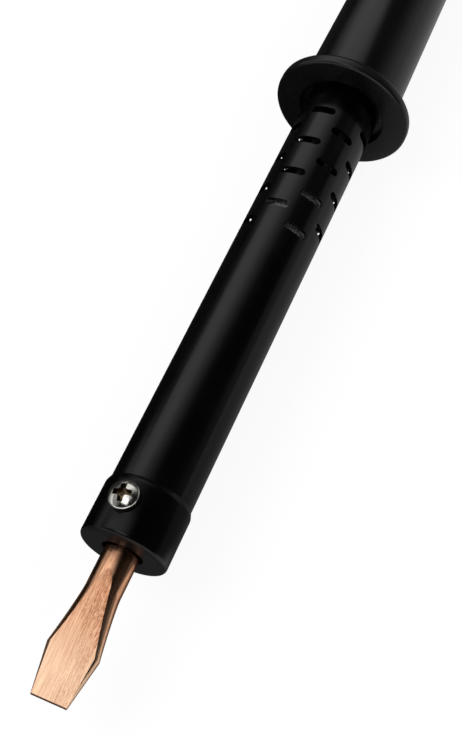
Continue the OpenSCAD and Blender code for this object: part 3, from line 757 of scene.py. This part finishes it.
grip = turn_on_lathe("handle_body", [
    (GRIP_FRONT, FRONT_BORE_R), (GRIP_FRONT, GRIP_FRONT_R), (LIP_END, grip_radius(LIP_END)),
    (GRIP_BACK, GRIP_BACK_R), (GRIP_BACK, CAP_BORE_R), (CAP_BORE_FRONT, CAP_BORE_R),
    (CAP_BORE_FRONT, WIRE_BORE_R), (BLOCK_BORE_BACK, WIRE_BORE_R), (BLOCK_BORE_BACK, BLOCK_BORE_R),
    (FRONT_BORE_BACK, BLOCK_BORE_R), (FRONT_BORE_BACK, FRONT_BORE_R),
])
round_rings(grip, [(GRIP_FRONT, GRIP_FRONT_R, 0.5), (GRIP_BACK, GRIP_BACK_R, 0.2)])
for turn in SCREW_TURNS:
    sink(grip, SCREW_X, turn, SCREW_HOLE, SCREW_HEAD_HOLE, 8)
sink(grip, CAP_SCREW_X, CAP_SCREW_TURN, CAP_SCREW_HOLE, CAP_SCREW_HEAD_HOLE, 8)
break_edges(grip, 0.1, 40)
fit_out(grip, grip_plastic, "iron", "handle_black", "handle_grip")

# Countersunk screws: zinc-plated steel with driver slots. Two hold guard, handle and
# barrel together, and one holds the end cap.
GUARD_SCREW = {"diameter": 3.0, "head": 5.6, "inner": 5.2}
CAP_SCREW = {"diameter": 2.5, "head": 4.6, "inner": 4.25}
SUNK_PITCH = 0.5
SUNK_POINT = 0.35
PLAIN_NECK = 1.2
GROOVE_W = 0.6
GROOVE_DEPTH = 0.6

zinc = mottled_finish(
    "zinc_plate", 1.0, (0.42, 0.43, 0.43), (0.62, 0.63, 0.63), (1.2,), (0.25, 0.42),
    shine_grain=(0.5,), relief=((0.25,), 0.2, 0.01),
)


def sunk_screw(name, x, turn, diameter, head, inner):
    """Countersunk screw with a driver slot, its head just under the grip's surface."""
    top = grip_radius(x) - HEAD_BELOW
    neck = top - (head - diameter) / 2 - HEAD_EDGE
    screw = turn_on_lathe(name, (
        [(inner, diameter / 2 - SUNK_POINT)]
        + threaded(inner + SUNK_POINT, neck - PLAIN_NECK, diameter / 2, SUNK_PITCH)
        + [(neck, diameter / 2), (top - HEAD_EDGE, head / 2), (top, head / 2)]
    ), SUNK_SIDES, hollow=False)
    select_only()
    bpy.ops.mesh.primitive_cube_add(size=1, location=(top * MM, 0, 0))
    groove = bpy.context.object
    groove.scale = (2 * GROOVE_DEPTH * MM, (head + 1) * MM, GROOVE_W * MM)
    settle()
    cut_away(screw, groove)
    break_edges(screw, 0.06, 38)
    return point_outwards(screw, x, turn)


guard_screws = [
    sunk_screw(name, SCREW_X, turn, **GUARD_SCREW)
    for name, turn in zip(("guard_screws", "second_guard_screw"), SCREW_TURNS)
]
select_only(guard_screws[0])
guard_screws[1].select_set(True)
bpy.ops.object.join()
fit_out(guard_screws[0], zinc, "iron", "zinc_steel", "handle_screws")
cap_screw = sunk_screw("cap_screw", CAP_SCREW_X, CAP_SCREW_TURN, **CAP_SCREW)
fit_out(cap_screw, zinc, "iron", "zinc_steel", "end_cap_screw")

# End cap: black plastic, pushed into the handle's rear. Its bore is the cord inlet, and
# the half-round shelf inside carries the cord clamp.
INLET_R = 3.75
CAP_FRONT = -14.0
CAP_BODY_R = CAP_BORE_R - FIT
SHELF_FRONT = CAP_BORE_FRONT
SHELF_R = 8.85
SHELF_TOP = -2.8
SHELF_BACK = -13.5
SHELF_BORE_R = 4.3
CLAMP_X = -21.0
CLAMP_Y = 5.9
CLAMP_HOLE_R = 1.15
CLAMP_HOLE_FLOOR = -4.6
DRILL_POINT_LEN = 1
DRILL_POINT_R = 0.05

end_cap = turn_on_lathe("inlet_cap", [
    (CAP_FRONT, INLET_R), (CAP_FRONT, CAP_BODY_R), (GRIP_BACK, CAP_BODY_R),
    (GRIP_BACK, GRIP_BACK_R), (0.0, GRIP_BACK_R), (0.0, INLET_R),
])
round_rings(end_cap, [
    (0.0, GRIP_BACK_R, 2.0), (0.0, INLET_R, 0.8), (CAP_FRONT, INLET_R, 0.5),
], 6)
shelf = turn_on_lathe("shelf", [(SHELF_FRONT, SHELF_R), (SHELF_BACK, SHELF_R)], hollow=False)
select_only(shelf)
bpy.ops.object.mode_set(mode="EDIT")
bpy.ops.mesh.select_all(action="SELECT")
bpy.ops.mesh.bisect(
    plane_co=(0, 0, SHELF_TOP * MM), plane_no=(0, 0, 1), use_fill=True, clear_outer=True,
    threshold=CUT_CLOSE,
)
bpy.ops.object.mode_set(mode="OBJECT")
bore = turn_on_lathe("bore", [
    (CAP_FRONT - 0.2, SHELF_BORE_R), (SHELF_BACK + 0.5, SHELF_BORE_R),
], hollow=False)
cut_away(shelf, bore)
for side in (-1, 1):
    rod = turn_on_lathe("clamp_hole", [
        (CLAMP_HOLE_FLOOR - DRILL_POINT_LEN, DRILL_POINT_R), (CLAMP_HOLE_FLOOR, CLAMP_HOLE_R),
        (0.0, CLAMP_HOLE_R),
    ], HOLE_SIDES, hollow=False)
    rod.matrix_world = (
        Matrix.Translation((CLAMP_X * MM, side * CLAMP_Y * MM, 0))
        @ Matrix.Rotation(-math.pi / 2, 4, "Y")
    )
    select_only(rod)
    settle()
    cut_away(shelf, rod)
select_only(end_cap)
fuse = end_cap.modifiers.new("fuse", "BOOLEAN")
fuse.operation = "UNION"
fuse.object = shelf
bpy.ops.object.modifier_apply(modifier=fuse.name)
bpy.data.objects.remove(shelf)
drill(end_cap, CAP_SCREW_X, CAP_SCREW_TURN, CAP_SCREW_HOLE, 3, 9.5)
break_edges(end_cap, 0.1, 40)
fit_out(end_cap, grip_plastic, "iron", "handle_black", "end_cap")

# Cord clamp and terminals: a bent steel strap with two screws on the end cap's shelf, and a
# porcelain block with brass tubes and plated clamping screws. The earth tag is brass too.
dress(zinc, "cord_clamp", "cord_clamp_screws", "earth_screw", "terminal_screws")
porcelain = mottled_finish(
    "glazed_porcelain", 0.0, (0.72, 0.70, 0.64), (0.82, 0.81, 0.77), (3.0, 4.0), (0.15, 0.3),
    relief=((1.2, 2.0), 0.15, 0.02),
)
dress(porcelain, "terminal_block")
brass = mottled_finish(
    "terminal_brass_turned", 1.0, (0.55, 0.38, 0.14), (0.78, 0.58, 0.26), (1.5,), (0.22, 0.36),
    shine_grain=(0.5, 3.0, (1, 6, 6)),
)
dress(brass, "terminal_tubes", "earth_tag")

# Studio: a white floor that keeps a faint shadow, soft lamps, and the soft boxes and dark
# cards that the black paint mirrors. The cards are seen in reflections alone.
WHITE = (1, 1, 1, 1)
FLOOR_Z = -0.0181
FLOOR_CENTRE = (-0.2, 0, FLOOR_Z)
BARREL_MIDDLE = Vector((-0.18, 0, 0))


def larger(tree, first, second):
    return add_node(tree, "Math", {0: first, 1: second}, operation="MAXIMUM").outputs[0]


def seen_share(tree, most=1.0):
    """Share of white for what the camera, a mirror or glass sees."""
    path = add_node(tree, "LightPath").outputs
    seen = larger(tree, path["Is Camera Ray"], path["Is Glossy Ray"])
    return product_of(tree, larger(tree, seen, path["Is Transmission Ray"]), most)


select_only()
bpy.ops.mesh.primitive_plane_add(size=6, location=FLOOR_CENTRE)
floor = bpy.context.object
floor.name = "studio_floor"
floor_white = bpy.data.materials.new("floor_white")
floor_white.use_nodes = True
tree = floor_white.node_tree
tree.nodes.clear()
matt = add_node(tree, "BsdfDiffuse", {"Color": (0.95, 0.95, 0.95, 1)})
glow = add_node(tree, "Emission", {"Color": WHITE, "Strength": 1.0})
mixed = add_node(tree, "MixShader", {0: seen_share(tree, 0.9), 1: matt.outputs[0], 2: glow.outputs[0]})
add_node(tree, "OutputMaterial", {0: mixed.outputs[0]})
floor.data.materials.append(floor_white)


def studio_card(name, size, centre, turn, glow_at):
    """Card that only reflections see; glow_at gives its glow from its own coordinates."""
    select_only()
    bpy.ops.mesh.primitive_plane_add(size=1, location=centre, rotation=turn)
    card = bpy.context.object
    card.name = name
    card.scale = (*size, 1)
    settle()
    card.visible_camera = False
    card.visible_diffuse = False
    card.visible_shadow = False
    card.visible_transmission = False
    material = bpy.data.materials.new(name)
    material.use_nodes = True
    tree = material.node_tree
    tree.nodes.clear()
    spot = add_node(tree, "TexCoord").outputs["Object"]
    axes = add_node(tree, "SeparateXYZ", {0: spot}).outputs
    light = add_node(tree, "Emission", {"Color": WHITE, "Strength": glow_at(tree, axes)})
    add_node(tree, "OutputMaterial", {0: light.outputs[0]})
    card.data.materials.append(material)


# Each card's glow is made of soft edges, whose last two numbers say where they start and end.
def ceiling_glow(tree, axes):
    """A wide soft box on the left with a gap between barrel and handle, and two over the bit."""
    x, y = axes["X"], axes["Y"]
    aside = sum_of(tree, x, product_of(tree, y, -0.9))
    wide = between(tree, sum_of(tree, y, product_of(tree, x, 0.6)), 0.015, 0.75, -0.04, 0.38)
    wide = product_of(tree, wide, between(tree, y, 1, 0.55, 0.5, 1.25))
    wide = product_of(tree, wide, between(tree, aside, 1, 0.04, 0.4, 0.47))
    wide = product_of(tree, wide, between(tree, x, 0.4, 1, -0.06, -0.015))
    spread = product_of(tree, sum_of(tree, x, -0.1), sum_of(tree, y, -0.45))
    gap = larger(
        tree, between(tree, spread, 1.05, 0.3, 0.06, 0.26), between(tree, aside, 0, 1, -0.06, 0)
    )
    past_handle = between(tree, sum_of(tree, x, product_of(tree, y, 0.9)), 0.15, 1, -0.12, -0.02)
    dim = product_of(tree, past_handle, between(tree, y, 0.27, 0.05, -1.2, -0.35))
    glow = larger(tree, product_of(tree, wide, gap), dim)
    slant = sum_of(tree, x, product_of(tree, y, -0.12))
    for start, strength, low_y, high_y, end in (
        ((-0.5, -0.42), 1.6, (-0.03, 0.02), (0.2, 0.26), (-0.28, -0.16)),
        ((-0.28, -0.16), 1.4, (-0.1, 0.16), (0.5, 0.9), (-0.15, -0.12)),
    ):
        box = product_of(
            tree, between(tree, x, 0, strength, *start), between(tree, slant, 1, 0, *end)
        )
        box = product_of(tree, box, between(tree, y, 0, 1, *low_y))
        glow = larger(tree, glow, product_of(tree, box, between(tree, y, 1, 0, *high_y)))
    return glow


def left_glow(tree, axes):
    """A bright stretch beside the iron and a dimmer one far behind it, brighter higher up."""
    near = between(tree, axes["X"], 0.8, 0.1, 0.18, 0.34)
    far = between(tree, axes["X"], 0, 0.34, 0.9, 1.05)
    return product_of(tree, larger(tree, near, far), between(tree, axes["Z"], 0.04, 1, 0, 0.45))


def right_glow(tree, axes):
    """Brighter behind the handle and low down."""
    behind = between(tree, axes["X"], 0.08, 1, 0.1, 1.1)
    return product_of(tree, behind, between(tree, axes["Z"], 0.4, 0.27, 0, 0.4))


def ground_glow(tree, axes):
    """Ground that is lit on the iron's right, brighter beside the collar, dim in front of it."""
    x, y = axes["X"], axes["Y"]
    side = product_of(
        tree, between(tree, x, 0.12, 0.4, -0.24, -0.06), between(tree, y, 0.75, 1, -0.35, -0.06)
    )
    side = product_of(tree, side, between(tree, y, 1, 0.07, -0.02, 0.006))
    front = product_of(
        tree, between(tree, x, 0.7, 0, -0.246, -0.238), between(tree, y, 1, 0, -0.032, -0.014)
    )
    return larger(tree, side, larger(tree, front, between(tree, x, 0.1, 0, -0.256, -0.25)))


def end_glow(tree, axes):
    """A dim wall behind the handle, a little brighter higher up."""
    return between(tree, axes["Z"], 0.03, 0.05, 0, 0.5)


UPRIGHT = (math.pi / 2, 0, 0)
studio_card("ceiling_card", (3.2, 2.48), (0.3, 0, 0.5), (0, 0, 0), ceiling_glow)
studio_card("left_card", (3.2, 0.52), (0.3, 1.24, 0.24), UPRIGHT, left_glow)
studio_card("right_card", (3.2, 0.52), (0.3, -1.24, 0.24), UPRIGHT, right_glow)
studio_card("end_card", (0.52, 2.48), (1.89, 0, 0.24), (0, math.pi / 2, 0), end_glow)
studio_card("ground_card", (3.0, 2.4), (0.2, 0, FLOOR_Z + 0.0001), (0, 0, 0), ground_glow)

world = bpy.data.worlds.new("studio_world")
bpy.context.scene.world = world
world.use_nodes = True
tree = world.node_tree
tree.nodes.clear()
plain = add_node(tree, "Background", {"Color": (0.6, 0.6, 0.6, 1), "Strength": 1.0})
white = add_node(tree, "Background", {"Color": WHITE, "Strength": 1.0})
mixed = add_node(tree, "MixShader", {0: seen_share(tree), 1: plain.outputs[0], 2: white.outputs[0]})
add_node(tree, "OutputWorld", {0: mixed.outputs[0]})


def soft_lamp(name, place, size, power):
    """Soft lamp that looks at the barrel and stays out of the reflections."""
    select_only()
    bpy.ops.object.light_add(type="AREA", location=place)
    lamp = bpy.context.object
    lamp.name = name
    lamp.data.size = size
    lamp.data.energy = power
    aim = BARREL_MIDDLE - Vector(place)
    lamp.rotation_euler = aim.to_track_quat("-Z", "Y").to_euler()
    lamp.visible_glossy = False


soft_lamp("key_lamp", (-0.35, 0.5, 0.8), 0.6, 5.6)
soft_lamp("fill_lamp", (0.1, -0.6, 0.6), 0.6, 2.4)

# Camera: at the photographed angle, in front of the bit and above it, with a long lens. Its
# place and axes come from the outlines of the barrel, the collar and the guard.
CAMERA_PLACE = (-0.3312, -0.0546, 0.2483)
RIGHT = Vector((0.3919, -0.9199, 0.0143))
UP = Vector((0.8013, 0.3489, 0.4860))
BACK = Vector((-0.4521, -0.1790, 0.8738))
LENS = 60.6
FILM_W = 36
NEAREST = 0.01
select_only()
bpy.ops.object.camera_add(location=CAMERA_PLACE)
camera = bpy.context.object
camera.name = "photo_camera"
camera.rotation_euler = Matrix((RIGHT, UP, BACK)).transposed().to_euler()
camera.data.lens = LENS
camera.data.sensor_width = FILM_W
camera.data.clip_start = NEAREST
bpy.context.scene.camera = camera
bpy.context.scene.view_settings.view_transform = "Standard"
